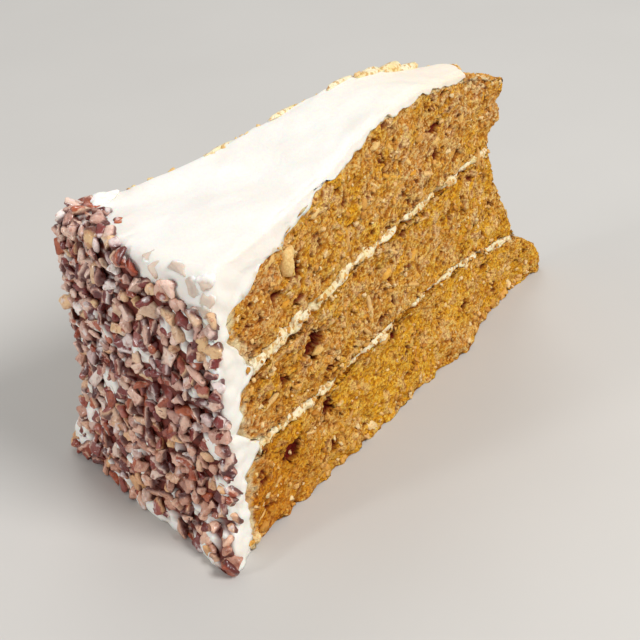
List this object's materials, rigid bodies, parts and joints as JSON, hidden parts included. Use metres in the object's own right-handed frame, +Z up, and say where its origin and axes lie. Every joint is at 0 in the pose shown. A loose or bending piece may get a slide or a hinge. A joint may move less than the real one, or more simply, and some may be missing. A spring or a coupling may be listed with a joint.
{
  "type": "carrot cake slice",
  "caption": "Tall wedge of layered carrot cake with thin cream fillings, a cream top and a rim covered in chopped nuts, for table and food scenes.",
  "frame": {"origin": "middle of the slice's bounding box, at the flat base it stands on", "axes": "+X from the nut-covered rim towards the tip, +Y from the cut that the picture shows towards the hidden cut, +Z up"},
  "size_m": [0.1404, 0.0646, 0.0764],
  "materials": {
    "sponge": "matt crumb, golden brown",
    "filling": "matt cream, pale yellow",
    "icing": "satin cream, warm white"
  },
  "bodies": {
    "root": {"sponge_bottom": "sponge", "sponge_middle": "sponge", "sponge_top": "sponge", "filling_lower": "filling", "filling_upper": "filling", "icing": "icing"}
  },
  "joints": []
}
